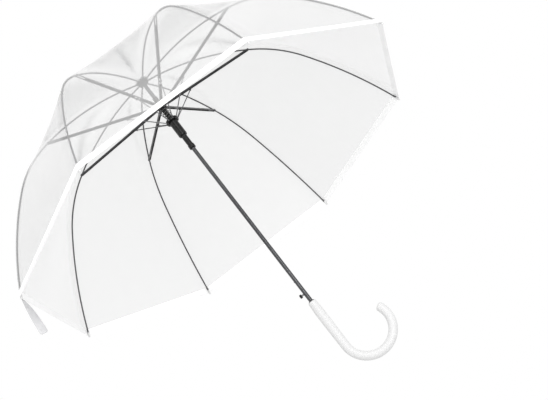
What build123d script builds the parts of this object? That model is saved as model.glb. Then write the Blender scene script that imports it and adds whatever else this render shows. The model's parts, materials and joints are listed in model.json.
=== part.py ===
"""Clear dome stick umbrella, open at rest.

A hooked handle carries a steel shaft. Eight bent ribs hinge at a slotted notch under the ferrule, and
eight channel stretchers join them to a runner. A coil spring between the runner and a slider pushes
eight wire struts, which open the stretchers. A film canopy of eight panels lies on the ribs.

Millimetres. Z runs up the shaft, Z = 0 is the lowest point of the hook, and the hook opens towards +X,
midway between two ribs.
"""

import os
from math import asin, atan2, cos, degrees, hypot, pi, radians, sin

from build123d import *

# Layout round the shaft
RIB_COUNT = 8
RIB_STEP = 360 / RIB_COUNT
FIRST_RIB = RIB_STEP / 2

# Shaft and handle
SHAFT_R = 4.0
SHAFT_WALL = 0.6
SHAFT_BOTTOM = 76.0
SHAFT_TOP = 792.0
STEM_TOP = 160.0
STEM_R = 9.2
STEM_MOUTH_R = 8.0
STEM_TAPER = 22.0
HOOK_R = 48.0
HOOK_TAIL = 28.0
HOOK_TUBE_R = 8.6
STEM_NARROWS = 110.0
COLLAR_R = 6.6
COLLAR_HEIGHT = 1.6

# Crown and ferrule
PIVOT_R = 9.0
CROWN_Z = 749.0
HUB_R = 10.5
HUB_SLOT = 2.4
HUB_SLOT_FLOOR = 6.3
NOTCH_HEIGHT = 8.0
WIRE_D = 1.2
CAP_R = 15.0
CAP_Z = 753.2
CAP_THICK = 1.6
FERRULE_BASE_R = 7.4
FERRULE_TIP_R = 6.4
FERRULE_PLAIN = 16.0
TOTAL_LENGTH = 820.0
FLUTE_R = 1.3

# Rib line, in the plane of one rib: distance from the shaft, and height
JOINT_REACH = 238.0
JOINT_Z = 714.0
CROWN_SLOPE = -5.5
FLEX_LEAD = 8.0
MIDDLE_LENGTH = 114.0
MIDDLE_SLOPE = 53.0
OUTER_LENGTH = 227.0
TIP_SLOPE = 70.0
ROD_R = 1.5
FLEX_GAP = 0.9
TONGUE_THICK = 1.8
TONGUE_R = 1.6
TONGUE_LENGTH = 6.5
TIP_R = 2.1
TIP_LENGTH = 9.0

# Stretchers
RUNNER_Z = 2 * JOINT_Z - CROWN_Z
CHANNEL_WIDTH = 5.2
CHANNEL_HEIGHT = 3.6
CHANNEL_WALL = 0.8
CHANNEL_START = 8.0
FORK_LENGTH = 24.0
FORK_END = 1.8
CLOSED_REACH = 14.0
RIVET_R = 0.8
PIN_PLAY = 0.05

# Struts
STRUT_REACH = 66.3
STRUT_DROP = 3.2
STRUT_R = 1.0
WEB_SLOT = 16.0
WEB_SLOT_BACK = 4.5
SLIDER_Z = 637.0
SLIDER_PIVOT_R = 12.3
EYE_R = 1.7
EYE_THICK = 1.8
LUG_R = 1.7

# Runner and slider
SHAFT_PLAY = 0.08
RUNNER_HALF = 3.5
RUNNER_NECK_TOP = 703.0
RUNNER_NECK_R = 5.2
RUNNER_TUBE_BOTTOM = 628.0
SLIDER_RING_R = 13.6
SLIDER_RING_HALF = 2.8
SLIDER_SLOT_FLOOR = 9.8
SLIDER_BODY_R = 9.0
SLIDER_BODY_BOTTOM = 596.0
SLIDER_NECK_R = 5.8
SLIDER_END_R = 6.8
SLIDER_END_TOP = 569.0
SLIDER_BOTTOM = 561.0
SLIDER_BORE_R = 5.5
SLIDER_BORE_FLOOR = 598.5
CATCH_WINDOW = (571.0, 577.5)
KEYWAY_DEPTH = 5.3

# Spring between runner and slider
SPRING_R = 7.6
SPRING_WIRE_R = 0.7
SPRING_TURNS = 5

# Catch and release button, on the side away from the hook
CATCH_PLATE = (176.0, 212.0)
CATCH_NOSE = (208.0, 211.0)
NOSE_REACH = 5.0
BUTTON_Z = 181.0
BUTTON_X = -10.0
BUTTON_WIDTH = 4.4
BUTTON_HEIGHT = 7.4
BUTTON_DEPTH = 4.8
PLATE_X = -2.9
PLATE_THICK = 0.6
PLATE_WIDTH = 2.6
SLOT_WIDTH = 3.2
STOP_PIN_R = 1.0
STOP_PIN_Z = RUNNER_NECK_TOP + 1.4

# Canopy film, closing strap
FILM_LIFT = 2.6
FILM_THICK = 0.3
FILM_START_R = 12.0
FILM_END_BACK = 4.5
HEM_WIDTH = 13.0
HEM_THICK = 0.4
STRAP_WIDTH = 15.0
STRAP_LENGTH = 84.0
STRAP_THICK = 0.8
STRAP_ASIDE = 18.0
STRAP_PLAY = 0.3
STRAP_RIB = 5
SNAP_R = 4.5


def bend(start, slope_in, slope_out, length):
    """A circular stretch of the rib line: centre, radius, and the slopes below level at its ends."""
    radius = length / radians(slope_out - slope_in)
    centre = (
        start[0] - radius * sin(radians(slope_in)),
        start[1] - radius * cos(radians(slope_in)),
    )
    return centre, radius, slope_in, slope_out


def on_bend(stretch, slope, lift=0.0):
    """The point of a stretch where it slopes by slope degrees, lifted off the line on its outer side."""
    centre, radius = stretch[0], stretch[1] + lift
    return centre[0] + radius * sin(radians(slope)), centre[1] + radius * cos(radians(slope))


# The inner stretch runs from the crown pivot through the stretcher joint and a little past it.
CHORD_SLOPE = degrees(atan2(CROWN_Z - JOINT_Z, JOINT_REACH - PIVOT_R))
LINK = hypot(JOINT_REACH - PIVOT_R, CROWN_Z - JOINT_Z)
JOINT_SLOPE = 2 * CHORD_SLOPE - CROWN_SLOPE
INNER_R = LINK / (2 * sin(radians(JOINT_SLOPE - CROWN_SLOPE) / 2))
FLEX_SLOPE = JOINT_SLOPE + degrees(FLEX_LEAD / INNER_R)
INNER = bend((PIVOT_R, CROWN_Z), CROWN_SLOPE, FLEX_SLOPE, INNER_R * radians(FLEX_SLOPE - CROWN_SLOPE))
MIDDLE = bend(on_bend(INNER, FLEX_SLOPE), FLEX_SLOPE, MIDDLE_SLOPE, MIDDLE_LENGTH)
OUTER = bend(on_bend(MIDDLE, MIDDLE_SLOPE), MIDDLE_SLOPE, TIP_SLOPE, OUTER_LENGTH)

# The stretcher runs from the runner pivot to the rib joint; the strut meets it on its lower side.
STRUT_JOINT = (
    PIVOT_R + STRUT_REACH * cos(radians(CHORD_SLOPE)) + STRUT_DROP * sin(radians(CHORD_SLOPE)),
    RUNNER_Z + STRUT_REACH * sin(radians(CHORD_SLOPE)) - STRUT_DROP * cos(radians(CHORD_SLOPE)),
)


def rib_plane(number):
    """The plane of one rib, with local X outwards from the shaft and local Y up it."""
    azimuth = radians(FIRST_RIB + RIB_STEP * (number - 1))
    return Plane(
        origin=(0, 0, 0),
        x_dir=(cos(azimuth), sin(azimuth), 0),
        z_dir=(sin(azimuth), -cos(azimuth), 0),
    )


def link_plane(number, start, end):
    """The plane of one rib again, with its origin at start and local X towards end."""
    base = rib_plane(number)
    along = base.from_local_coords(Vector(*end)) - base.from_local_coords(Vector(*start))
    return Plane(origin=base.from_local_coords(Vector(*start)), x_dir=along, z_dir=base.z_dir)


def save(builder, name):
    """Label a finished piece and write it to its own file."""
    builder.part.label = name
    export_step(builder.part, f"parts/{name}.step")


def rod(number, stretch, slope_in, slope_out):
    """A round rod along a stretch of one rib, between two of its slopes."""
    middle = (slope_in + slope_out) / 2
    with BuildLine(rib_plane(number)) as path:
        ThreePointArc(on_bend(stretch, slope_in), on_bend(stretch, middle), on_bend(stretch, slope_out))
    with BuildSketch(Plane(origin=path.line @ 0, z_dir=path.line % 0)) as section:
        Circle(ROD_R)
    sweep(section.sketch, path=path.line)


def slope_after(stretch, length):
    """How much a stretch turns down over a length, in degrees."""
    return degrees(length / stretch[1])


def rib_inner(number):
    """The rib from its eye in the crown notch to just past the stretcher joint, with the joint's rivet."""
    with BuildPart() as rib:
        rod_start = CROWN_SLOPE + slope_after(INNER, TONGUE_LENGTH)
        rod(number, INNER, rod_start, FLEX_SLOPE - slope_after(INNER, FLEX_GAP))
        with BuildSketch(link_plane(number, (PIVOT_R, CROWN_Z), on_bend(INNER, CROWN_SLOPE + 2))):
            Circle(TONGUE_R)
            with Locations((TONGUE_LENGTH / 2 + 1, 0)):
                Rectangle(TONGUE_LENGTH + 2, 2 * TONGUE_R - 0.4)
            Circle(WIRE_D / 2 + 0.1, mode=Mode.SUBTRACT)
        extrude(amount=TONGUE_THICK / 2, both=True)
        with BuildSketch(link_plane(number, (JOINT_REACH, JOINT_Z), (PIVOT_R, CROWN_Z))):
            Circle(RIVET_R)
        extrude(amount=CHANNEL_WIDTH / 2 + 0.5, both=True)
    return rib


def rib_middle(number):
    """The rib from just past the stretcher joint to where its strongest bend ends."""
    with BuildPart() as rib:
        gap = slope_after(MIDDLE, FLEX_GAP)
        rod(number, MIDDLE, FLEX_SLOPE + gap, MIDDLE_SLOPE - gap)
    return rib


def rib_outer(number):
    """The rib's outer end, with the moulded tip that holds the canopy."""
    tip_slope = TIP_SLOPE - slope_after(OUTER, TIP_LENGTH)
    with BuildPart() as rib:
        rod(number, OUTER, MIDDLE_SLOPE + slope_after(OUTER, FLEX_GAP), tip_slope)
        with BuildSketch(tip_plane(number, tip_slope)):
            Circle(TIP_R)
        extrude(amount=TIP_LENGTH)
        fillet(rib.faces().filter_by(GeomType.PLANE).sort_by(Axis.Z)[0].edges(), 1.6)
    return rib


def tip_plane(number, slope):
    """The cross-section of the outer stretch where a rib's tip begins."""
    base = rib_plane(number)
    origin = base.from_local_coords(Vector(*on_bend(OUTER, slope)))
    ahead = base.from_local_coords(Vector(*on_bend(OUTER, TIP_SLOPE)))
    return Plane(origin=origin, z_dir=ahead - origin)


def stretcher(number):
    """A folded channel, open below, with a tongue for the runner, a fork for the rib and a strut lug."""
    half_width = CHANNEL_WIDTH / 2
    half_height = CHANNEL_HEIGHT / 2
    inner_half = half_width - CHANNEL_WALL
    plane = link_plane(number, (PIVOT_R, RUNNER_Z), (JOINT_REACH, JOINT_Z))
    with BuildPart() as link:
        with BuildSketch(plane):
            with Locations(((CHANNEL_START + LINK) / 2, 0)):
                Rectangle(LINK - CHANNEL_START, CHANNEL_HEIGHT)
            with Locations((LINK, 0)):
                Circle(FORK_END)
            with Locations((STRUT_REACH, -half_height)):
                Rectangle(2 * LUG_R, 2 * (STRUT_DROP - half_height))
            with Locations((STRUT_REACH, -STRUT_DROP)):
                Circle(LUG_R)
        extrude(amount=half_width, both=True)
        with BuildSketch(plane):
            with Locations(((CHANNEL_START + LINK) / 2, -CHANNEL_WALL)):
                Rectangle(LINK, CHANNEL_HEIGHT)
            with Locations((LINK - FORK_LENGTH / 2 + FORK_END, 0)):
                Rectangle(FORK_LENGTH + 2 * FORK_END, 3 * FORK_END)
            with Locations((STRUT_REACH, -STRUT_DROP)):
                Rectangle(4 * LUG_R, 4 * LUG_R - 1)
        extrude(amount=inner_half, both=True, mode=Mode.SUBTRACT)
        with BuildSketch(plane):
            Circle(TONGUE_R)
            with Locations((CHANNEL_START, 0)):
                Rectangle(2 * CHANNEL_START, 2 * TONGUE_R)
            Circle(WIRE_D / 2 + 0.1, mode=Mode.SUBTRACT)
        extrude(amount=TONGUE_THICK / 2, both=True)
        with BuildSketch(plane):
            with Locations((LINK, 0)):
                Circle(RIVET_R + PIN_PLAY)
        extrude(amount=half_width + 1, both=True, mode=Mode.SUBTRACT)
        with BuildSketch(plane):
            with Locations((STRUT_REACH - WEB_SLOT_BACK, half_height)):
                Rectangle(WEB_SLOT, CHANNEL_HEIGHT)
        extrude(amount=inner_half, both=True, mode=Mode.SUBTRACT)
        with BuildSketch(plane):
            with Locations((STRUT_REACH, -STRUT_DROP)):
                Circle(RIVET_R)
        extrude(amount=half_width, both=True)
        with BuildSketch(plane):
            with Locations((STRUT_REACH, -STRUT_DROP)):
                Circle(LUG_R)
        extrude(amount=EYE_THICK / 2 + PIN_PLAY, both=True, mode=Mode.SUBTRACT)
    return link


def strut(number):
    """A wire link with a flat eye at each end, from the slider ring to the stretcher's lug."""
    reach = STRUT_JOINT[0] - SLIDER_PIVOT_R
    rise = STRUT_JOINT[1] - SLIDER_Z
    length = hypot(reach, rise)
    plane = link_plane(number, (SLIDER_PIVOT_R, SLIDER_Z), STRUT_JOINT)
    with BuildPart() as link:
        with BuildSketch(Plane(origin=plane.origin + plane.x_dir * (EYE_R - 0.4), z_dir=plane.x_dir)):
            Circle(STRUT_R)
        extrude(amount=length - 2 * EYE_R + 0.8)
        with BuildSketch(plane):
            with Locations((0, 0), (length, 0)):
                Circle(EYE_R)
        extrude(amount=EYE_THICK / 2, both=True)
        with BuildSketch(plane):
            Circle(WIRE_D / 2 + 0.1)
            with Locations((length, 0)):
                Circle(RIVET_R + PIN_PLAY)
        extrude(amount=2 * EYE_THICK, both=True, mode=Mode.SUBTRACT)
    return link


def ring_slots(floor_r, outer_r, width, low, high):
    """Cut one radial slot for every rib through a ring, between two heights."""
    with BuildSketch(Plane.XY.offset(low)) as slots:
        with PolarLocations((floor_r + outer_r) / 2 + 1, RIB_COUNT, start_angle=FIRST_RIB):
            Rectangle(outer_r - floor_r + 2, width)
    extrude(slots.sketch, amount=high - low, mode=Mode.SUBTRACT)


def wire_groove(pivot_r, outer_r, height):
    """Cut the round groove that a ring wire lies in, open to the rim."""
    with BuildSketch(Plane.XY.offset(height - WIRE_D / 2)) as groove:
        Circle(outer_r + 1)
        Circle(pivot_r - WIRE_D / 2, mode=Mode.SUBTRACT)
    extrude(groove.sketch, amount=WIRE_D, mode=Mode.SUBTRACT)


def ring_wire(pivot_r, height):
    """The wire that threads the eyes of eight links, lying in a ring's groove."""
    with BuildPart() as wire:
        with BuildSketch(Plane.XZ):
            with Locations((pivot_r, height)):
                Circle(WIRE_D / 2 - 0.02)
        revolve(axis=Axis.Z)
    return wire


def turned(points):
    """A solid of revolution about the shaft's axis, from its outline in distance and height."""
    with BuildSketch(Plane.XZ) as outline:
        with BuildLine():
            Polyline(*points, close=True)
        make_face()
    revolve(outline.sketch, axis=Axis.Z)


def make_shaft():
    with BuildPart() as shaft:
        with BuildSketch(Plane.XY.offset(SHAFT_BOTTOM)):
            Circle(SHAFT_R)
            Circle(SHAFT_R - SHAFT_WALL, mode=Mode.SUBTRACT)
        extrude(amount=SHAFT_TOP - SHAFT_BOTTOM)
        nose_low, nose_high = CATCH_NOSE
        with BuildSketch(Plane.YZ):
            with Locations((0, BUTTON_Z)):
                SlotOverall(7.0, SLOT_WIDTH, rotation=90)
            with Locations((0, (nose_low + nose_high) / 2)):
                Rectangle(SLOT_WIDTH, nose_high - nose_low + 2)
        extrude(amount=-2 * SHAFT_R, mode=Mode.SUBTRACT)
        with BuildSketch(Plane.XZ):
            with Locations((0, STOP_PIN_Z)):
                Circle(STOP_PIN_R)
        extrude(amount=2 * SHAFT_R, both=True, mode=Mode.SUBTRACT)
    return shaft


def make_stop_pin():
    """The cross pin that the runner's neck meets when the umbrella is open."""
    with BuildPart() as pin:
        with BuildSketch(Plane.XZ):
            with Locations((0, STOP_PIN_Z)):
                Circle(STOP_PIN_R)
        extrude(amount=SHAFT_R + 1.2, both=True)
        chamfer(pin.edges().filter_by(GeomType.CIRCLE), 0.2)
    return pin


def make_handle():
    """The hooked handle: a stem bored for the shaft, narrowing into a rounded hook."""
    centre_z = HOOK_R + HOOK_TUBE_R
    with BuildPart() as handle:
        turned(
            [
                (0, centre_z),
                (HOOK_TUBE_R, centre_z),
                (STEM_R, STEM_NARROWS),
                (STEM_R, STEM_TOP - STEM_TAPER),
                (STEM_MOUTH_R, STEM_TOP - 0.8),
                (STEM_MOUTH_R - 0.8, STEM_TOP),
                (0, STEM_TOP),
            ]
        )
        tail = radians(HOOK_TAIL)
        end = (HOOK_R + HOOK_R * cos(tail), centre_z + HOOK_R * sin(tail))
        with BuildLine(Plane.XZ) as path:
            ThreePointArc((0, centre_z), (HOOK_R, centre_z - HOOK_R), end)
        with BuildSketch(Plane(origin=path.line @ 0, z_dir=path.line % 0)):
            Circle(HOOK_TUBE_R)
        sweep(path=path.line)
        fillet(handle.faces().filter_by(GeomType.PLANE).sort_by(Axis.X)[-1].edges(), 5.0)
        with BuildSketch(Plane.XY.offset(SHAFT_BOTTOM)):
            Circle(SHAFT_R)
        extrude(amount=STEM_TOP - SHAFT_BOTTOM, mode=Mode.SUBTRACT)
    return handle


def make_handle_collar():
    with BuildPart() as collar:
        with BuildSketch(Plane.XY.offset(STEM_TOP)):
            Circle(COLLAR_R)
            Circle(SHAFT_R, mode=Mode.SUBTRACT)
        extrude(amount=COLLAR_HEIGHT)
        chamfer(collar.edges().group_by(Axis.Z)[-1].sort_by(SortBy.RADIUS)[-1], 0.4)
    return collar


def make_crown_notch():
    """The slotted ring, fixed to the shaft, that holds the ribs' inner ends."""
    low = CROWN_Z - NOTCH_HEIGHT / 2
    high = CROWN_Z + NOTCH_HEIGHT / 2
    with BuildPart() as notch:
        with BuildSketch(Plane.XY.offset(low)):
            Circle(HUB_R)
            Circle(SHAFT_R, mode=Mode.SUBTRACT)
        extrude(amount=high - low)
        ring_slots(HUB_SLOT_FLOOR, HUB_R, HUB_SLOT, low, high)
        wire_groove(PIVOT_R, HUB_R, CROWN_Z)
    return notch


def make_crown_cap():
    """The domed washer that clamps the film over the crown."""
    with BuildPart() as cap:
        turned(
            [
                (SHAFT_R, CAP_Z),
                (CAP_R, CAP_Z),
                (CAP_R, CAP_Z + 0.6),
                (FERRULE_BASE_R, CAP_Z + CAP_THICK),
                (SHAFT_R, CAP_Z + CAP_THICK),
            ]
        )
    return cap


def make_ferrule():
    """The fluted tube over the top of the shaft, with a blind bore and a rounded tip."""
    base = CAP_Z + CAP_THICK
    with BuildPart() as ferrule:
        turned(
            [
                (0, base),
                (FERRULE_BASE_R + 0.8, base),
                (FERRULE_BASE_R + 0.8, base + 3),
                (FERRULE_BASE_R, base + 4),
                (FERRULE_TIP_R, TOTAL_LENGTH - FERRULE_PLAIN),
                (FERRULE_TIP_R, TOTAL_LENGTH),
                (0, TOTAL_LENGTH),
            ]
        )
        fillet(ferrule.edges().group_by(Axis.Z)[-1], 2.0)
        with BuildSketch(Plane.XY.offset(base + 8)):
            with PolarLocations(FERRULE_BASE_R + 0.4, RIB_COUNT, start_angle=FIRST_RIB):
                Circle(FLUTE_R)
        extrude(amount=TOTAL_LENGTH - FERRULE_PLAIN - 2 - base - 8, mode=Mode.SUBTRACT)
        with BuildSketch(Plane.XY.offset(base)):
            Circle(SHAFT_R)
        extrude(amount=SHAFT_TOP - base, mode=Mode.SUBTRACT)
    return ferrule


def make_runner():
    """The upper hub: a slotted ring between a neck above and a tube that guides the slider below."""
    bore = SHAFT_R + SHAFT_PLAY
    low = RUNNER_Z - RUNNER_HALF
    high = RUNNER_Z + RUNNER_HALF
    with BuildPart() as runner:
        turned(
            [
                (bore, RUNNER_TUBE_BOTTOM),
                (RUNNER_NECK_R, RUNNER_TUBE_BOTTOM),
                (RUNNER_NECK_R, low),
                (HUB_R, low),
                (HUB_R, high),
                (HUB_SLOT_FLOOR, high + 1),
                (RUNNER_NECK_R, RUNNER_NECK_TOP),
                (bore, RUNNER_NECK_TOP),
            ]
        )
        ring_slots(HUB_SLOT_FLOOR, HUB_R, HUB_SLOT, low, high + 0.99)
        wire_groove(PIVOT_R, HUB_R, RUNNER_Z)
    return runner


def make_slider():
    """The lower runner: a slotted ring, a grip body, a neck with the catch window, and an end ring."""
    bore = SHAFT_R + SHAFT_PLAY
    low = SLIDER_Z - SLIDER_RING_HALF
    high = SLIDER_Z + SLIDER_RING_HALF
    window_low, window_high = CATCH_WINDOW
    with BuildPart() as slider:
        turned(
            [
                (bore, SLIDER_BOTTOM),
                (SLIDER_END_R - 0.6, SLIDER_BOTTOM),
                (SLIDER_END_R, SLIDER_BOTTOM + 0.6),
                (SLIDER_END_R, SLIDER_END_TOP),
                (SLIDER_NECK_R, SLIDER_END_TOP + 0.8),
                (SLIDER_NECK_R, SLIDER_BODY_BOTTOM),
                (SLIDER_BODY_R - 0.8, SLIDER_BODY_BOTTOM),
                (SLIDER_BODY_R, SLIDER_BODY_BOTTOM + 1.6),
                (SLIDER_BODY_R, low),
                (SLIDER_RING_R, low),
                (SLIDER_RING_R, high),
                (SLIDER_BORE_R, high),
                (SLIDER_BORE_R, SLIDER_BORE_FLOOR),
                (bore, SLIDER_BORE_FLOOR),
            ]
        )
        ring_slots(SLIDER_SLOT_FLOOR, SLIDER_RING_R, HUB_SLOT, low, high)
        wire_groove(SLIDER_PIVOT_R, SLIDER_RING_R, SLIDER_Z)
        with BuildSketch(Plane.YZ):
            with Locations((0, (window_low + window_high) / 2)):
                Rectangle(SLOT_WIDTH + 0.4, window_high - window_low)
        extrude(amount=-2 * SLIDER_NECK_R, mode=Mode.SUBTRACT)
        with BuildSketch(Plane.XY.offset(SLIDER_BOTTOM)):
            with Locations((-KEYWAY_DEPTH / 2, 0)):
                Rectangle(KEYWAY_DEPTH, SLOT_WIDTH)
        extrude(amount=window_low - SLIDER_BOTTOM, mode=Mode.SUBTRACT)
    return slider


def make_main_spring():
    """The opening spring, standing on the slider's ring under the runner's hub."""
    low = SLIDER_Z + SLIDER_RING_HALF + SPRING_WIRE_R
    high = RUNNER_Z - RUNNER_HALF - SPRING_WIRE_R
    with BuildPart() as spring:
        with BuildLine() as path:
            Helix(pitch=(high - low) / SPRING_TURNS, height=high - low, radius=SPRING_R, center=(0, 0, low))
        with BuildSketch(Plane(origin=path.line @ 0, z_dir=path.line % 0)):
            Circle(SPRING_WIRE_R)
        sweep(path=path.line, is_frenet=True)
    return spring


def make_catch_plate():
    """The sprung strip inside the shaft, with the nose that holds the slider and the button's stem."""
    low, high = CATCH_PLATE
    nose_low, nose_high = CATCH_NOSE
    with BuildPart() as plate:
        with BuildSketch(Plane.XY.offset(low)):
            with Locations((PLATE_X, 0)):
                Rectangle(PLATE_THICK, PLATE_WIDTH)
            Circle(SHAFT_R - SHAFT_WALL - 0.1, mode=Mode.INTERSECT)
        extrude(amount=high - low)
        with BuildSketch(Plane.XZ):
            with BuildLine():
                Polyline(
                    (PLATE_X, nose_low),
                    (-NOSE_REACH, nose_high),
                    (PLATE_X, nose_high),
                    close=True,
                )
            make_face()
        extrude(amount=PLATE_WIDTH / 2, both=True)
        with BuildSketch(Plane.YZ.offset(PLATE_X)):
            with Locations((0, BUTTON_Z)):
                Rectangle(PLATE_WIDTH, 3.0)
        extrude(amount=BUTTON_X + BUTTON_DEPTH / 2 - PLATE_X)
    return plate


def make_release_button():
    with BuildPart() as button:
        with BuildSketch(Plane.YZ.offset(BUTTON_X - BUTTON_DEPTH / 2)):
            with Locations((0, BUTTON_Z)):
                RectangleRounded(BUTTON_WIDTH, BUTTON_HEIGHT, 1.6)
        extrude(amount=BUTTON_DEPTH)
        fillet(button.faces().sort_by(Axis.X)[0].edges(), 1.0)
    return button


def make_button_spring():
    """The small coil that returns the catch, between the strip and the shaft's far wall."""
    left = PLATE_X + PLATE_THICK / 2 + 0.3
    right = SHAFT_R - SHAFT_WALL - 0.6
    with BuildPart() as spring:
        with BuildLine() as path:
            Helix(
                pitch=(right - left) / 4,
                height=right - left,
                radius=1.0,
                center=(left, 0, BUTTON_Z),
                direction=(1, 0, 0),
            )
        with BuildSketch(Plane(origin=path.line @ 0, z_dir=path.line % 0)):
            Circle(0.2)
        sweep(path=path.line, is_frenet=True)
    return spring


def film_band(number, inner_lift, outer_lift, stretches):
    """A sheet's section on the rib line, between two lifts, over its (stretch, slopes) runs."""
    first, last = stretches[0], stretches[-1]
    with BuildLine() as outline:
        for lift in (inner_lift, outer_lift):
            for stretch, slope_in, slope_out in stretches:
                middle = (slope_in + slope_out) / 2
                ThreePointArc(
                    on_bend(stretch, slope_in, lift),
                    on_bend(stretch, middle, lift),
                    on_bend(stretch, slope_out, lift),
                )
        Line(on_bend(first[0], first[1], inner_lift), on_bend(first[0], first[1], outer_lift))
        Line(on_bend(last[0], last[2], inner_lift), on_bend(last[0], last[2], outer_lift))
    with BuildSketch(rib_plane(number)) as band:
        make_face(outline.edges())
    return band.sketch


def panel(number, inner_lift, outer_lift, stretches):
    """One sheet running level from a rib's line to the next rib's, as a stretched panel does."""
    reach = 2.2 * JOINT_REACH * 2 * sin(pi / RIB_COUNT)
    middle_azimuth = radians(FIRST_RIB + RIB_STEP * (number - 0.5))
    across = (-sin(middle_azimuth), cos(middle_azimuth), 0)
    next_rib = Plane(origin=(0, 0, 0), z_dir=-rib_plane(number + 1).z_dir)
    with BuildPart() as sheet:
        extrude(film_band(number, inner_lift, outer_lift, stretches), amount=reach, dir=across)
        split(bisect_by=next_rib, keep=Keep.BOTTOM)
    return sheet.part


def eight_panels(inner_lift, outer_lift, stretches):
    """A whole ring of sheets round the shaft, meeting along the ribs."""
    with BuildPart() as ring:
        for number in range(1, RIB_COUNT + 1):
            add(panel(number, inner_lift, outer_lift, stretches), clean=False)
    return ring


def film_slopes():
    """The stretches that the film covers, from the crown cap to just short of the rib tips."""
    start = degrees(asin((FILM_START_R - INNER[0][0]) / INNER[1]))
    return [
        (INNER, start, FLEX_SLOPE),
        (MIDDLE, FLEX_SLOPE, MIDDLE_SLOPE),
        (OUTER, MIDDLE_SLOPE, TIP_SLOPE - slope_after(OUTER, FILM_END_BACK)),
    ]


def hem_slopes():
    """The last stretch of the film, where its edge is folded over and welded."""
    end = TIP_SLOPE - slope_after(OUTER, FILM_END_BACK)
    return [(OUTER, end - slope_after(OUTER, HEM_WIDTH), end)]


def strap_plane():
    """The hem's outer face beside one rib's tip: local X along the hem, local Y up, Z outwards."""
    edge_slope = TIP_SLOPE - slope_after(OUTER, FILM_END_BACK)
    edge = on_bend(OUTER, edge_slope, FILM_LIFT + FILM_THICK + HEM_THICK + STRAP_PLAY)
    azimuth = radians(FIRST_RIB + RIB_STEP * (STRAP_RIB - 1.5))
    along = Vector(-sin(azimuth), cos(azimuth), 0)
    corner = rib_plane(STRAP_RIB).from_local_coords(Vector(edge[0], edge[1] + HEM_WIDTH / 2))
    return Plane(origin=corner - along * STRAP_ASIDE, x_dir=along, z_dir=(cos(azimuth), sin(azimuth), 0))


def make_strap():
    """The closing strap, hanging free from the hem."""
    with BuildPart() as strap:
        with BuildSketch(strap_plane()):
            with Locations((0, -STRAP_LENGTH / 2)):
                RectangleRounded(STRAP_WIDTH, STRAP_LENGTH, 2.5)
        extrude(amount=STRAP_THICK)
    return strap


def make_strap_snap():
    """The press stud near the strap's free end, on its outer face."""
    with BuildPart() as snap:
        with BuildSketch(strap_plane().offset(STRAP_THICK)):
            with Locations((0, -STRAP_LENGTH + 11)):
                Circle(SNAP_R)
        extrude(amount=1.2)
        fillet(snap.faces().sort_by(Axis.X)[0].edges(), 0.5)
    return snap


def print_layout():
    """Print the places that the joints need."""
    closed_lean = degrees(asin((CLOSED_REACH - PIVOT_R) / LINK))
    fold = 90 - CHORD_SLOPE - closed_lean
    tip = on_bend(OUTER, TIP_SLOPE)
    print("fold angle", round(fold, 3))
    print("flex joints", on_bend(INNER, FLEX_SLOPE), on_bend(MIDDLE, MIDDLE_SLOPE))
    print("strut joint", STRUT_JOINT, "runner", RUNNER_Z, "rib tip", tip)


os.makedirs("parts", exist_ok=True)
save(make_shaft(), "shaft")
save(make_stop_pin(), "stop_pin")
save(make_handle(), "handle")
save(make_handle_collar(), "handle_collar")
save(make_crown_notch(), "crown_notch")
save(ring_wire(PIVOT_R, CROWN_Z), "crown_wire")
save(make_crown_cap(), "crown_cap")
save(make_ferrule(), "ferrule")
save(make_runner(), "runner")
save(ring_wire(PIVOT_R, RUNNER_Z), "runner_wire")
save(make_main_spring(), "main_spring")
save(make_slider(), "slider")
save(ring_wire(SLIDER_PIVOT_R, SLIDER_Z), "slider_wire")
save(make_catch_plate(), "catch_plate")
save(make_release_button(), "release_button")
save(make_button_spring(), "button_spring")
save(eight_panels(FILM_LIFT, FILM_LIFT + FILM_THICK, film_slopes()), "canopy")
hem_lift = FILM_LIFT + FILM_THICK
save(eight_panels(hem_lift, hem_lift + HEM_THICK, hem_slopes()), "hem_band")
save(make_strap(), "closing_strap")
save(make_strap_snap(), "strap_snap")
for number in range(1, RIB_COUNT + 1):
    save(rib_inner(number), f"rib_inner_{number}")
    save(rib_middle(number), f"rib_middle_{number}")
    save(rib_outer(number), f"rib_outer_{number}")
    save(stretcher(number), f"stretcher_{number}")
    save(strut(number), f"strut_{number}")
print_layout()
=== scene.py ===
"""Looks of a clear dome umbrella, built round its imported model.

Lengths are in millimetres until a mesh is made.
"""

import json
from math import asin, atan2, cos, degrees, hypot, pi, radians, sin

import bpy
from mathutils import Matrix, Vector

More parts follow.
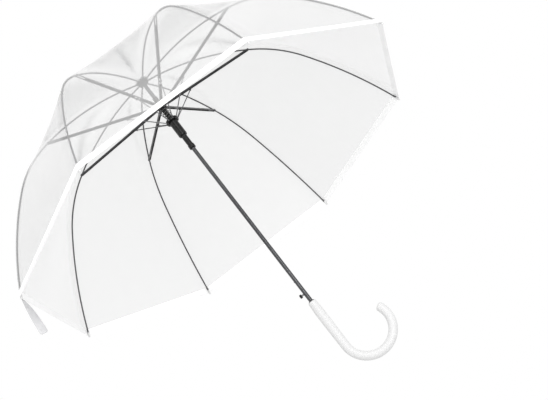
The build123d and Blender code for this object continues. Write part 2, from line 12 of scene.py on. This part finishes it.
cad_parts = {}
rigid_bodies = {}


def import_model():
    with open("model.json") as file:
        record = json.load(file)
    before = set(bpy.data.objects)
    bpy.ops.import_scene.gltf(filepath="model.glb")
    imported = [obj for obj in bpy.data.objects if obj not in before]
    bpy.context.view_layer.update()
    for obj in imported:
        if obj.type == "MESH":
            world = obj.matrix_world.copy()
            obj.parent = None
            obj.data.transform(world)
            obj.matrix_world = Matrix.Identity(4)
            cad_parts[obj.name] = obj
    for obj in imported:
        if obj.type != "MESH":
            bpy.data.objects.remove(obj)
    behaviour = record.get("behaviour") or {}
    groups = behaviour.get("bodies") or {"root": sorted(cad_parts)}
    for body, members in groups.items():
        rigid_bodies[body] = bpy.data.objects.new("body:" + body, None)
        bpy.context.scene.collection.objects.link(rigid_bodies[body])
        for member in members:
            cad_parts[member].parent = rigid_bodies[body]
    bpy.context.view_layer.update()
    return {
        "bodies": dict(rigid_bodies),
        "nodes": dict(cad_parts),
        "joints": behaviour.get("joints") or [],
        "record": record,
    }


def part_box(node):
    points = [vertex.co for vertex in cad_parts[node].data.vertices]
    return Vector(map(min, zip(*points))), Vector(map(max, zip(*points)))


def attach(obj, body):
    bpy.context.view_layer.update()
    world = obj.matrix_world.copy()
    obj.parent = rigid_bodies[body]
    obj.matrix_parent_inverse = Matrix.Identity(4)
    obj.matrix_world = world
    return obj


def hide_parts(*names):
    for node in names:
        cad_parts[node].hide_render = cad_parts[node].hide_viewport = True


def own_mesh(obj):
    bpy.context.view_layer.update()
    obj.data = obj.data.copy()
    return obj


MM = 0.001

# ---- The frame's driving dimensions, as in part.py ----
RIB_COUNT = 8
HALF_GORE = pi / RIB_COUNT
PIVOT_R, CROWN_Z = 9.0, 749.0
JOINT_REACH, JOINT_Z = 238.0, 714.0
CROWN_SLOPE, MIDDLE_SLOPE, TIP_SLOPE = -5.5, 53.0, 70.0
FLEX_LEAD, MIDDLE_LENGTH, OUTER_LENGTH = 8.0, 114.0, 227.0
ROD_R = 1.5
TIP_LENGTH = 9.0
TONGUE_LENGTH, TONGUE_R, TONGUE_HALF = 6.5, 1.6, 0.9
RIVET_R, RIVET_HALF = 0.8, 2.9
FILM_LIFT = 2.75
FILM_START_R = 12.0
FILM_END_BACK = 4.5
HEM_WIDTH = 13.0
HEM_PROUD = 0.45
MAIN_COIL = (7.6, 0.7, 5)
BUTTON_COIL = (1.0, 0.2, 4)

# ---- Film and hem ----
FILM_SAG = 5.0
GRID = {"inner": (20, 11), "middle": (12, 13), "outer": (20, 15)}
NORMAL_STEP = 1e-3
WIDTH_SPARE, LENGTH_SPARE = 1.03, 1.02
HEM_FLAT_ROWS, HEM_FOLD_STEPS = 2, 4
HEM_WEAVE_STEP = 0.003
MARKS = {-1: "a", 1: "b"}

# ---- The film's optics, with distances from the rib in metres ----
FILM_WHITE = (0.737, 0.737, 0.737)
FILM_HAZE = (0.42, 0.46)
SEAM_HAZE = 0.04
SEAM_EDGE = (0.0018, 0.0028)
FILM_RIPPLE = (0.12, 0.004)
RIPPLE_SCALE, HAZE_SCALE = 9.0, 3.5
FILM_IOR, FILM_ROUGHNESS = 1.22, 0.28
SHINE_FADE = (0.012, 0.034)

# ---- Grain of the other surfaces ----
NOISE_SPAN = (0.3, 0.7)
NOISE_ROUGHNESS = 0.55
PATCH_SCALE, PATCH_DETAIL = 60.0, 4.0
GRAIN_DETAIL, GRAIN_DEPTH = 2.0, 0.0003
TAPE_PATCH_SCALE = 25.0
TAPE_ROUGHNESS = (0.3, 0.5)
WELD_SCALE, WELD_STRENGTH, WELD_DEPTH = 420.0, 0.3, 0.0004

# ---- Strap and stud ----
STRAP_TWIST = 60.0
STRAP_SEWN = 6.0
STRAP_BOW, STRAP_LEAN = 0.36, 0.2
STRAP_GRID = (40, 13)
STRAP_CORNER, STRAP_RIM = 3.0, 1.2
RIM_HALF, FIELD_HALF = 0.5, 0.4
RIM_START, RIM_RISE = 0.35, 2
SNAP_R, SNAP_UP = 4.5, 11.0

# ---- Fineness of the round pieces ----
ROD_STEPS = 26
ROD_DOME = (30, 60, 85)
COIL_STEPS, COIL_SIDES = 36, 10

# ---- Camera, floor and lamps, in metres and watts ----
CAMERA_PLACE = (-0.0186, -1.9048, -0.4006)
CAMERA_RIGHT = Vector((0.7934, 0.1984, -0.5754))
CAMERA_UP = Vector((0.6074, -0.3189, 0.7276))
CAMERA_SENSOR, CAMERA_LENS, CAMERA_FAR = 36.0, 70.35, 60.0
FLOOR_REACH, FLOOR_Z = 14.0, -0.55
LAMPS = (
    ("key", (-1.6, -1.4, 1.9), (0, 0, 0.5), (0.9, 0.9), 3),
    ("strip", (0.67, -1.78, 1.3), (0, 0, 0.45), (0.34, 1.7), 13),
    ("fill", (0.7, -2.1, -0.2), (0, 0.1, 0.4), (1.2, 1.2), 19),
)


def bend(start, slope_in, slope_out, length):
    """A circular stretch: centre, radius, and the slopes below level at its ends."""
    radius = length / radians(slope_out - slope_in)
    centre = (start[0] - radius * sin(radians(slope_in)), start[1] - radius * cos(radians(slope_in)))
    return centre, radius, slope_in, slope_out


def on_bend(stretch, slope, lift=0.0):
    """The (reach, height) of a stretch where it slopes by slope degrees, lifted on its outer side."""
    (reach, height), radius = stretch[0], stretch[1] + lift
    return reach + radius * sin(radians(slope)), height + radius * cos(radians(slope))


def slope_after(stretch, length):
    """The degrees that a stretch turns by over a length of its line."""
    return degrees(length / stretch[1])


chord_slope = degrees(atan2(CROWN_Z - JOINT_Z, JOINT_REACH - PIVOT_R))
joint_slope = 2 * chord_slope - CROWN_SLOPE
link = hypot(JOINT_REACH - PIVOT_R, CROWN_Z - JOINT_Z)
inner_r = link / (2 * sin(radians(joint_slope - CROWN_SLOPE) / 2))
flex_slope = joint_slope + degrees(FLEX_LEAD / inner_r)
INNER = bend((PIVOT_R, CROWN_Z), CROWN_SLOPE, flex_slope, inner_r * radians(flex_slope - CROWN_SLOPE))
MIDDLE = bend(on_bend(INNER, flex_slope), flex_slope, MIDDLE_SLOPE, MIDDLE_LENGTH)
OUTER = bend(on_bend(MIDDLE, MIDDLE_SLOPE), MIDDLE_SLOPE, TIP_SLOPE, OUTER_LENGTH)
STRETCHES = (("inner", INNER), ("middle", MIDDLE), ("outer", OUTER))
film_first = degrees(asin((FILM_START_R - INNER[0][0]) / INNER[1]))
film_last = TIP_SLOPE - slope_after(OUTER, FILM_END_BACK)
FILM_RUNS = {
    "inner": (film_first, flex_slope),
    "middle": (flex_slope, MIDDLE_SLOPE),
    "outer": (MIDDLE_SLOPE, film_last),
}


def run_length(name, stretch):
    """The length of the film down one stretch."""
    first, last = FILM_RUNS[name]
    return stretch[1] * radians(last - first)


FILM_TOTAL = sum(run_length(name, stretch) for name, stretch in STRETCHES)


def rib_axes(number):
    """Outward and sideways unit vectors of one rib's plane."""
    azimuth = HALF_GORE * (2 * number - 1)
    return Vector((cos(azimuth), sin(azimuth), 0)), Vector((-sin(azimuth), cos(azimuth), 0))


UP = Vector((0, 0, 1))


def outward_at(out, slope):
    """The outer side of a line that slopes by slope degrees in the plane of out."""
    return out * sin(radians(slope)) + UP * cos(radians(slope))


def in_rib(number, point, aside=0.0):
    """A rib-plane point (reach, height), moved aside from that plane, in metres."""
    out, side = rib_axes(number)
    return (out * point[0] + side * aside + UP * point[1]) * MM


# ---- Mesh helpers ----
def make_object(name, points, faces, material):
    """A smooth-shaded object of one material."""
    mesh = bpy.data.meshes.new(name)
    mesh.from_pydata([tuple(p) for p in points], [], faces)
    mesh.validate()
    mesh.update()
    mesh.polygons.foreach_set("use_smooth", [True] * len(mesh.polygons))
    mesh.materials.append(material)
    made = bpy.data.objects.new(name, mesh)
    bpy.context.scene.collection.objects.link(made)
    return made


def grid_faces(rows, columns, offset=0, closed=False):
    """Quads over a rows x columns grid of points, wrapped round in columns if closed."""
    faces = []
    last = columns if closed else columns - 1
    for i in range(rows - 1):
        for j in range(last):
            a, b = offset + i * columns + j, offset + i * columns + (j + 1) % columns
            faces.append((a, b, b + columns, a + columns))
    return faces


def tube(centres, radii, frames, sides=14, flat=None):
    """Rings round centres in the (u, v) frames, with closed ends.

    flat gives each ring's half size along v, where it isn't round.
    """
    points = []
    for i, (centre, radius, (u, v)) in enumerate(zip(centres, radii, frames)):
        across = radius if flat is None else flat[i]
        for j in range(sides):
            angle = 2 * pi * j / sides
            points.append(centre + (u * cos(angle) * radius + v * sin(angle) * across) * MM)
    faces = grid_faces(len(centres), sides, closed=True)
    faces.append(tuple(reversed(range(sides))))
    faces.append(tuple(range((len(centres) - 1) * sides, len(centres) * sides)))
    return points, faces


def join(parts):
    """Several (points, faces) as one."""
    points, faces = [], []
    for some_points, some_faces in parts:
        base = len(points)
        points += some_points
        faces += [tuple(i + base for i in face) for face in some_faces]
    return points, faces


def turned(base, axis, frame, profile, scale=1.0, sides=14):
    """A turned piece along axis from base. profile lists its (distance along, radius)."""
    centres = [base + axis * at * MM for at, _ in profile]
    return tube(centres, [scale * size for _, size in profile], [frame] * len(profile), sides=sides)


# ---- Materials ----
class Nodes:
    """A material's node tree with short calls."""

    def __init__(self, name):
        self.material = bpy.data.materials.new(name)
        self.material.use_nodes = True
        self.tree = self.material.node_tree
        self.shader = self.tree.nodes["Principled BSDF"]
        self.output = self.tree.nodes["Material Output"]
        self.coords = self.add("ShaderNodeTexCoord")

    def add(self, kind, **values):
        node = self.tree.nodes.new(kind)
        for key, value in values.items():
            if hasattr(node, key):
                setattr(node, key, value)
            else:
                node.inputs[key.replace("_", " ")].default_value = value
        return node

    def link(self, source, target):
        self.tree.links.new(source, target)

    def noise(self, scale, detail=3.0, stretch=(1, 1, 1)):
        """Soft noise in the object's own coordinates."""
        mapping = self.add("ShaderNodeMapping")
        mapping.inputs["Scale"].default_value = stretch
        self.link(self.coords.outputs["Object"], mapping.inputs["Vector"])
        node = self.add("ShaderNodeTexNoise", Scale=scale, Detail=detail, Roughness=NOISE_ROUGHNESS)
        self.link(mapping.outputs[0], node.inputs["Vector"])
        return node.outputs["Fac"]

    def spread(self, source, low, high, span=NOISE_SPAN, **settings):
        """Maps the span of a value onto low to high."""
        node = self.add("ShaderNodeMapRange", **settings)
        for socket, value in zip(("From Min", "From Max", "To Min", "To Max"), (*span, low, high)):
            node.inputs[socket].default_value = value
        self.link(source, node.inputs["Value"])
        return node.outputs["Result"]

    def ramp(self, source, first, second):
        """Turns noise into colours between first and second."""
        node = self.add("ShaderNodeValToRGB")
        for stop, position, colour in zip(node.color_ramp.elements, NOISE_SPAN, (first, second)):
            stop.position = position
            stop.color = (*colour, 1)
        self.link(source, node.inputs["Fac"])
        return node.outputs["Color"]

    def maths(self, operation, first, second):
        node = self.add("ShaderNodeMath", operation=operation)
        self.link(first, node.inputs[0])
        self.link(second, node.inputs[1])
        return node.outputs[0]

    def mix(self, first, second, share=None):
        """Mixes two shaders, half and half unless share is given."""
        node = self.add("ShaderNodeMixShader", Fac=0.5)
        if share is not None:
            self.link(share, node.inputs["Fac"])
        self.link(first, node.inputs[1])
        self.link(second, node.inputs[2])
        return node.outputs[0]

    def bump(self, source, strength, distance):
        node = self.add("ShaderNodeBump", Strength=strength, Distance=distance)
        self.link(source, node.inputs["Height"])
        return node.outputs["Normal"]

    def set(self, **values):
        for key, value in values.items():
            self.shader.inputs[key.replace("_", " ")].default_value = value


def hard_material(
    name, dark, light, rough, metallic=0.0, grain=900.0, stretch=(1, 1, 1), bump=0.05, coat=0.0, spec=0.5
):
    """A moulded or metal surface: mottled colour, worn roughness and fine grain."""
    n = Nodes(name)
    patches = n.noise(PATCH_SCALE, PATCH_DETAIL, stretch)
    fine = n.noise(grain, GRAIN_DETAIL, stretch)
    n.link(n.ramp(patches, dark, light), n.shader.inputs["Base Color"])
    n.link(n.spread(patches, *rough), n.shader.inputs["Roughness"])
    n.link(n.bump(fine, bump, GRAIN_DEPTH), n.shader.inputs["Normal"])
    n.set(Metallic=metallic, Coat_Weight=coat, Coat_Roughness=0.08, Specular_IOR_Level=spec)
    return n.material


def film_material():
    """Clear soft vinyl: mostly see-through, with a glossy skin, faint haze and ripples.

    A welded seam runs along each rib, and the gloss fades out beside it.
    """
    n = Nodes("clear_film")
    layout = n.add("ShaderNodeSeparateXYZ")
    n.link(n.coords.outputs["UV"], layout.inputs[0])
    from_rib = layout.outputs["X"]
    seam = n.spread(from_rib, SEAM_HAZE, 0.0, SEAM_EDGE, interpolation_type="SMOOTHSTEP")
    cloud = n.spread(n.noise(HAZE_SCALE, 4.0), *FILM_HAZE)
    lit = n.add("ShaderNodeBsdfDiffuse", Color=(*FILM_WHITE, 1))
    glow = n.add("ShaderNodeBsdfTranslucent", Color=(*FILM_WHITE, 1))
    cloudy = n.mix(lit.outputs[0], glow.outputs[0])
    clear = n.add("ShaderNodeBsdfTransparent", Color=(1, 1, 1, 1))
    veil = n.mix(clear.outputs[0], cloudy, n.maths("ADD", cloud, seam))
    gloss = n.add("ShaderNodeBsdfAnisotropic", Color=(1, 1, 1, 1), Roughness=FILM_ROUGHNESS)
    n.link(n.bump(n.noise(RIPPLE_SCALE), *FILM_RIPPLE), gloss.inputs["Normal"])
    fresnel = n.add("ShaderNodeFresnel", IOR=FILM_IOR)
    shine = n.maths("MULTIPLY", fresnel.outputs[0], n.spread(from_rib, 0.0, 1.0, SHINE_FADE))
    n.link(n.mix(veil, gloss.outputs[0], shine), n.output.inputs["Surface"])
    return n.material


def welded_material(name, light, dark, alpha):
    """White vinyl tape with a fine dotted weld pattern, slightly see-through."""
    n = Nodes(name)
    dots = n.add("ShaderNodeTexVoronoi", Scale=WELD_SCALE, Randomness=0.0)
    n.link(n.coords.outputs["UV"], dots.inputs["Vector"])
    patches = n.noise(TAPE_PATCH_SCALE, PATCH_DETAIL)
    n.link(n.ramp(patches, dark, light), n.shader.inputs["Base Color"])
    n.link(n.spread(patches, *TAPE_ROUGHNESS), n.shader.inputs["Roughness"])
    n.link(n.bump(dots.outputs["Distance"], WELD_STRENGTH, WELD_DEPTH), n.shader.inputs["Normal"])
    n.set(Coat_Weight=0.2, Coat_Roughness=0.15, Alpha=alpha)
    return n.material


MATERIALS = {
    "strap_film": welded_material("strap_film", (0.62, 0.62, 0.63), (0.54, 0.54, 0.55), 0.9),
    "clear_film": film_material(),
    "white_film": welded_material("white_film", (0.97, 0.97, 0.97), (0.92, 0.92, 0.92), 0.93),
    "rib_black": hard_material(
        "rib_black", (0.030, 0.030, 0.032), (0.055, 0.055, 0.058), (0.28, 0.42), metallic=0.2, coat=0.25
    ),
    "rib_tube": hard_material(
        "rib_tube", (0.020, 0.020, 0.022), (0.040, 0.040, 0.042), (0.30, 0.45), metallic=0.5, coat=0.2
    ),
    "wire_steel": hard_material(
        "wire_steel", (0.10, 0.10, 0.105), (0.20, 0.20, 0.205), (0.25, 0.4), metallic=0.9, stretch=(1, 1, 0.2)
    ),
    "spring_steel": hard_material(
        "spring_steel", (0.05, 0.05, 0.052), (0.12, 0.12, 0.12), (0.25, 0.4), metallic=0.8
    ),
    "shaft_steel": hard_material(
        "shaft_steel",
        (0.075, 0.077, 0.08),
        (0.12, 0.12, 0.125),
        (0.16, 0.26),
        metallic=1.0,
        stretch=(1, 1, 0.03),
        bump=0.08,
    ),
    "black_plastic": hard_material(
        "black_plastic", (0.004, 0.004, 0.004), (0.010, 0.010, 0.010), (0.09, 0.16), bump=0.03, spec=0.3
    ),
    "white_plastic": hard_material(
        "white_plastic",
        (0.615, 0.615, 0.615),
        (0.625, 0.625, 0.625),
        (0.42, 0.48),
        grain=300.0,
        bump=0.004,
        coat=0.1,
    ),
    "clear_plastic": hard_material(
        "clear_plastic", (0.78, 0.785, 0.79), (0.85, 0.85, 0.85), (0.15, 0.3), coat=0.5
    ),
}

# ---- Start ----
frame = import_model()
slot_of = {part["node"]: part["material_slot"] for part in frame["record"]["subparts"]}
for node, piece in frame["nodes"].items():
    piece.data.materials.clear()
    tubular = node.startswith("stretcher")
    piece.data.materials.append(MATERIALS["rib_tube" if tubular else slot_of[node]])


# ---- Canopy: one clear sheet, cut where the frame's bodies and its folds meet ----
def gore_axes(number, side):
    """The directions from a rib towards its gore's middle, and outward along that middle."""
    out, along = rib_axes(number)
    towards = -sin(HALF_GORE) * out + side * cos(HALF_GORE) * along
    middle = cos(HALF_GORE) * out + side * sin(HALF_GORE) * along
    return towards, middle


def film_point(number, side, stretch, slope, share, length_share, lift=FILM_LIFT):
    """A point of the half gore on one side of a rib, from share 0 at the rib to 1 at the gore's middle."""
    out = rib_axes(number)[0]
    towards, middle = gore_axes(number, side)
    reach, height = on_bend(stretch, slope, lift)
    half = reach * sin(HALF_GORE)
    sag = FILM_SAG * sin(pi * length_share) * (1 - (1 - share) ** 2)
    return (out * reach + UP * height + towards * half * share - outward_at(middle, slope) * sag) * MM


def gather(piece):
    """Gives the piece a mesh of its own."""
    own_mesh(piece)


def film_grid(number, side, name, stretch, rows, columns):
    """Points, normals and UVs (distance from the rib, distance down it) over one half gore."""
    first, last = FILM_RUNS[name]
    before = 0.0
    for other, other_stretch in STRETCHES:
        if other == name:
            break
        before += run_length(other, other_stretch)
    points, normals, layout = [], [], []
    for i in range(rows):
        slope = first + (last - first) * i / (rows - 1)
        down = before + stretch[1] * radians(slope - first)
        length_share = down / FILM_TOTAL
        nudge = degrees(NORMAL_STEP * FILM_TOTAL / stretch[1])
        for j in range(columns):
            share = j / (columns - 1)
            here = film_point(number, side, stretch, slope, share, length_share)
            below = film_point(number, side, stretch, slope + nudge, share, length_share + NORMAL_STEP)
            beside = film_point(number, side, stretch, slope, share + NORMAL_STEP, length_share)
            normal = (below - here).cross(beside - here) * side
            points.append(here)
            normals.append(normal.normalized())
            half = on_bend(stretch, slope, FILM_LIFT)[0] * sin(HALF_GORE)
            layout.append((half * share * MM, down * MM))
    return points, normals, layout


def add_layout(piece, layout):
    layer = piece.data.uv_layers.new(name="UVMap")
    for loop in piece.data.loops:
        layer.data[loop.index].uv = layout[loop.vertex_index]


def half_faces(rows, columns, side):
    """Quads over a half gore, wound alike on both sides of a rib."""
    faces = grid_faces(rows, columns)
    return [tuple(reversed(face)) for face in faces] if side > 0 else faces


def make_film(number, side, name, stretch):
    """One piece of clear sheet, and its flat width and length in metres."""
    rows, columns = GRID[name]
    points, normals, layout = film_grid(number, side, name, stretch, rows, columns)
    faces = half_faces(rows, columns, side)
    piece = make_object(f"film_{name}_{number}{MARKS[side]}", points, faces, MATERIALS["clear_film"])
    if normals[0].dot(piece.data.polygons[0].normal) < 0:
        normals = [-normal for normal in normals]
    piece.data.normals_split_custom_set_from_vertices([tuple(normal) for normal in normals])
    add_layout(piece, layout)
    width = on_bend(stretch, FILM_RUNS[name][1], FILM_LIFT)[0] * sin(HALF_GORE) * MM
    length = run_length(name, stretch) * MM
    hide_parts("canopy")
    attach(piece, f"rib_{name}_{number}")
    gather(piece)
    return piece, (width * WIDTH_SPARE, length * LENGTH_SPARE)


def make_hem(number, side):
    """The hem: a white tape folded over the film's edge, outside and in."""
    columns = GRID["outer"][1]
    edge = slope_after(OUTER, HEM_WIDTH)
    turn = [(film_last - edge, FILM_LIFT + HEM_PROUD), (film_last - edge / 2, FILM_LIFT + HEM_PROUD)]
    for step in range(HEM_FOLD_STEPS + 1):
        turn.append((film_last, FILM_LIFT + HEM_PROUD * cos(step * pi / HEM_FOLD_STEPS)))
    turn += [(film_last - edge / 2, FILM_LIFT - HEM_PROUD), (film_last - edge, FILM_LIFT - HEM_PROUD)]
    points, layout = [], []
    for i, (slope, lift) in enumerate(turn):
        step = i - HEM_FLAT_ROWS
        if 0 <= step <= HEM_FOLD_STEPS:
            slope += slope_after(OUTER, HEM_PROUD * sin(step * pi / HEM_FOLD_STEPS))
        down = 1 - radians(film_last - slope) * OUTER[1] / FILM_TOTAL
        for j in range(columns):
            share = j / (columns - 1)
            points.append(film_point(number, side, OUTER, slope, share, down, lift))
            half = on_bend(OUTER, slope)[0] * sin(HALF_GORE)
            layout.append((half * share * MM, i * HEM_WEAVE_STEP))
    faces = half_faces(len(turn), columns, side)
    piece = make_object(f"hem_{number}{MARKS[side]}", points, faces, MATERIALS["white_film"])
    add_layout(piece, layout)
    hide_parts("hem_band")
    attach(piece, f"rib_outer_{number}")
    gather(piece)
    return piece


for number in range(1, RIB_COUNT + 1):
    for side in (-1, 1):
        for name, stretch in STRETCHES:
            film, (width, length) = make_film(number, side, name, stretch)
            hems = [make_hem(number, side)] if name == "outer" else []


# ---- Ribs: sprung rods, one piece on each of a rib's bodies ----
def arc_tube(number, stretch, slopes, radius):
    """A rod along a stretch, with rounded ends."""
    out, side = rib_axes(number)
    centres, radii, frames = [], [], []
    for i in range(ROD_STEPS + 1):
        slope = slopes[0] + (slopes[1] - slopes[0]) * i / ROD_STEPS
        centres.append(in_rib(number, on_bend(stretch, slope)))
        radii.append(radius)
        frames.append((outward_at(out, slope), side))
    for end, inward in ((0, 1), (-1, -1)):
        tangent = (centres[end + inward] - centres[end]).normalized()
        dome = []
        for angle in ROD_DOME:
            centre = centres[end] - tangent * radius * sin(radians(angle)) * MM
            dome.append((centre, radius * cos(radians(angle))))
        for centre, size in dome:
            at = 0 if end == 0 else len(centres)
            centres.insert(at, centre)
            radii.insert(at, size)
            frames.insert(at, frames[0 if end == 0 else -1])
    return tube(centres, radii, frames)


def cross_pin(number, point, radius, half):
    """A round pin across a rib's plane, with domed heads."""
    out, side = rib_axes(number)
    profile = [(-half, 0.3), (-half + 0.15, 0.9), (-half + 0.45, 1.35), (-half + 0.5, 1.0)]
    profile += [(half - 0.5, 1.0), (half - 0.45, 1.35), (half - 0.15, 0.9), (half, 0.3)]
    return turned(in_rib(number, point), side, (out, UP), profile, radius)


def eye_tongue(number):
    """The flattened eye by which a rib hangs on the crown wire."""
    out, side = rib_axes(number)
    stations = [(-1.0, 0.5), (-0.8, 0.85), (-0.2, 1.0), (1.0, 0.98), (3.6, 0.9)]
    stations += [(TONGUE_LENGTH / TONGUE_R, 0.9)]
    centres, radii, frames = [], [], []
    for at, size in stations:
        slope = CROWN_SLOPE + slope_after(INNER, at * TONGUE_R)
        centres.append(in_rib(number, on_bend(INNER, slope)))
        radii.append(TONGUE_R * size)
        frames.append((outward_at(out, slope), side))
    return tube(centres, radii, frames, flat=[TONGUE_HALF * size for _, size in stations])


def make_rod(number, name, stretch):
    """One part of a rib's rod. The inner one also has the eye and the stretcher's rivet."""
    slopes = {
        "inner": (CROWN_SLOPE + slope_after(INNER, TONGUE_LENGTH - 1), flex_slope),
        "middle": (flex_slope, MIDDLE_SLOPE),
        "outer": (MIDDLE_SLOPE, TIP_SLOPE - slope_after(OUTER, TIP_LENGTH - 2)),
    }[name]
    parts = [arc_tube(number, stretch, slopes, ROD_R)]
    if name == "inner":
        parts += [eye_tongue(number), cross_pin(number, (JOINT_REACH, JOINT_Z), RIVET_R, RIVET_HALF)]
    points, faces = join(parts)
    piece = make_object(f"rod_{name}_{number}", points, faces, MATERIALS["rib_black"])
    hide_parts(f"rib_{name}_{number}")
    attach(piece, f"rib_{name}_{number}")
    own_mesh(piece)


def make_tip(number):
    """The white cap on a rib's end, with its collar and the ball that stops the thread."""
    side = rib_axes(number)[1]
    profile = [(-1.6, 1.62), (-1.5, 2.0), (-0.6, 2.05), (-0.5, 1.75), (1.0, 1.7), (2.2, 1.6), (4.0, 1.55)]
    profile += [(4.6, 1.9), (5.4, 2.05), (6.4, 2.1), (7.4, 2.0), (8.3, 1.6), (8.8, 1.0), (9.0, 0.3)]
    start = TIP_SLOPE - slope_after(OUTER, TIP_LENGTH)
    base = in_rib(number, on_bend(OUTER, start))
    end = in_rib(number, on_bend(OUTER, TIP_SLOPE))
    along = (end - base).normalized()
    points, faces = turned(base, along, (along.cross(side), side), profile, sides=20)
    piece = make_object(f"tip_{number}", points, faces, MATERIALS["white_plastic"])
    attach(piece, f"rib_outer_{number}")


for number in range(1, RIB_COUNT + 1):
    for name, stretch in STRETCHES:
        make_rod(number, name, stretch)
    make_tip(number)


# ---- Springs ----
def make_coil(name, node, body, axis, coil):
    """A coil spring that fills its CAD node's box along axis."""
    radius, wire, turns = coil
    low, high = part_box(node)
    middle = (low + high) / 2
    half = abs((high - low).dot(axis)) / 2 / MM - wire
    beside = UP.cross(axis) if axis != UP else Vector((1, 0, 0))
    above = axis.cross(beside)
    steps = COIL_STEPS * turns
    centres, frames = [], []
    for i in range(steps + 1):
        angle = 2 * pi * turns * i / steps
        out = beside * cos(angle) + above * sin(angle)
        centres.append(middle + (out * radius + axis * half * (2 * i / steps - 1)) * MM)
        frames.append((out, axis))
    points, faces = tube(centres, [wire] * len(centres), frames, sides=COIL_SIDES)
    piece = make_object(name, points, faces, MATERIALS[slot_of[node]])
    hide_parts(node)
    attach(piece, body)
    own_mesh(piece)


make_coil("spring_coil", "main_spring", "runner", UP, MAIN_COIL)
make_coil(
    "button_coil", "button_spring", "frame", Vector((1, 0, 0)), BUTTON_COIL
)


# ---- Closing strap ----
def strap_spot(down, across, proud):
    """A point of the strap and its two directions there, from how far it is down, across and proud."""
    low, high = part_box("closing_strap")
    length = (high.z - low.z) / MM
    curl = STRAP_BOW * sin(pi * down / length) ** 2 + STRAP_LEAN * (down / length) ** 2
    share = min(1.0, max(0.0, (down - STRAP_SEWN) / (length - STRAP_SEWN)))
    turn = radians(STRAP_TWIST) * (1 - (1 - share) ** 2)
    facing = Vector((-cos(turn), sin(turn), 0))
    beside = Vector((sin(turn), cos(turn), 0))
    middle = (low + high) / 2
    line = Vector((middle.x, middle.y, high.z - down * MM))
    return line + (facing * (proud - curl) + beside * across) * MM, facing, beside


def make_strap():
    """A welded strap with rounded corners and a raised rim, hanging with a slight curl."""
    low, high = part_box("closing_strap")
    width, length = (high.y - low.y) / MM, (high.z - low.z) / MM
    thick = (high.x - low.x) / MM
    rows, columns = STRAP_GRID
    points, layout = [], []
    for face_side in (-1, 1):
        for i in range(rows):
            down = length * i / (rows - 1)
            near = min(down, length - down)
            pull = 0.0
            if near <= STRAP_CORNER:
                pull = STRAP_CORNER - (STRAP_CORNER ** 2 - (STRAP_CORNER - near) ** 2) ** 0.5
            half = width / 2 - pull
            for j in range(columns):
                across = -half + 2 * half * j / (columns - 1)
                to_edge = min(half - abs(across), near)
                body = FIELD_HALF
                if to_edge <= STRAP_RIM:
                    body = RIM_HALF * min(1.0, RIM_START + RIM_RISE * to_edge / STRAP_RIM)
                points.append(strap_spot(down, across, face_side * body * thick)[0])
                layout.append((across * MM, down * MM))
    sheet_size = rows * columns
    front = grid_faces(rows, columns)
    faces = [tuple(reversed(face)) for face in front] + grid_faces(rows, columns, sheet_size)
    ring = list(range(columns)) + [i * columns + columns - 1 for i in range(1, rows)]
    ring += [(rows - 1) * columns + j for j in range(columns - 2, -1, -1)]
    ring += [i * columns for i in range(rows - 2, 0, -1)]
    for a, b in zip(ring, ring[1:] + ring[:1]):
        faces.append((a, b, b + sheet_size, a + sheet_size))
    piece = make_object("strap", points, faces, MATERIALS["strap_film"])
    add_layout(piece, layout)
    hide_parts("closing_strap")
    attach(piece, "strap")
    snap = make_snap(length - SNAP_UP)


def make_snap(down):
    """The press stud, turned with the strap's free end."""
    centre, facing, beside = strap_spot(down, 0.0, 0.0)
    profile = [(0.2, 0.95), (0.7, 1.0), (1.1, 0.96), (1.35, 0.82), (1.45, 0.5), (1.46, 0.1)]
    points, faces = turned(centre, facing, (beside, UP), profile, SNAP_R, sides=28)
    piece = make_object("snap", points, faces, MATERIALS["white_plastic"])
    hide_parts("strap_snap")
    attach(piece, "strap")
    return piece


make_strap()


# ---- Camera, light and floor ----
def make_camera():
    """Below the rim, looking up into the canopy."""
    data = bpy.data.cameras.new("camera")
    camera = bpy.data.objects.new("camera", data)
    bpy.context.scene.collection.objects.link(camera)
    data.sensor_width, data.lens = CAMERA_SENSOR, CAMERA_LENS
    data.clip_end = CAMERA_FAR
    turn = Matrix((CAMERA_RIGHT, CAMERA_UP, CAMERA_RIGHT.cross(CAMERA_UP))).transposed().to_4x4()
    camera.matrix_world = Matrix.Translation(CAMERA_PLACE) @ turn
    bpy.context.scene.camera = camera


def soft_light(name, place, target, size, power):
    """A rectangular lamp turned towards a target."""
    data = bpy.data.lights.new(name, "AREA")
    data.shape, data.size, data.size_y, data.energy = "RECTANGLE", size[0], size[1], power
    lamp = bpy.data.objects.new(name, data)
    bpy.context.scene.collection.objects.link(lamp)
    lamp.location = place
    lamp.rotation_euler = (Vector(target) - Vector(place)).to_track_quat("-Z", "Y").to_euler()


def make_world():
    """An even white surround."""
    world = bpy.data.worlds.new("studio")
    bpy.context.scene.world = world
    world.use_nodes = True
    world.node_tree.nodes["Background"].inputs["Color"].default_value = (1, 1, 1, 1)
    world.node_tree.nodes["Background"].inputs["Strength"].default_value = 1.0


def make_floor():
    """A pale floor below the whole umbrella."""
    ends = ((-1, -1), (1, -1), (1, 1), (-1, 1))
    corners = [(FLOOR_REACH * x, FLOOR_REACH * y, FLOOR_Z) for x, y in ends]
    n = Nodes("floor")
    n.link(n.ramp(n.noise(2.0), (0.86, 0.86, 0.86), (0.88, 0.88, 0.88)), n.shader.inputs["Base Color"])
    n.set(Roughness=0.8)
    floor = make_object("floor", corners, [(0, 1, 2, 3)], n.material)


make_camera()
make_world()
make_floor()
for lamp in LAMPS:
    soft_light(*lamp)
bpy.context.scene.view_settings.view_transform = "Standard"
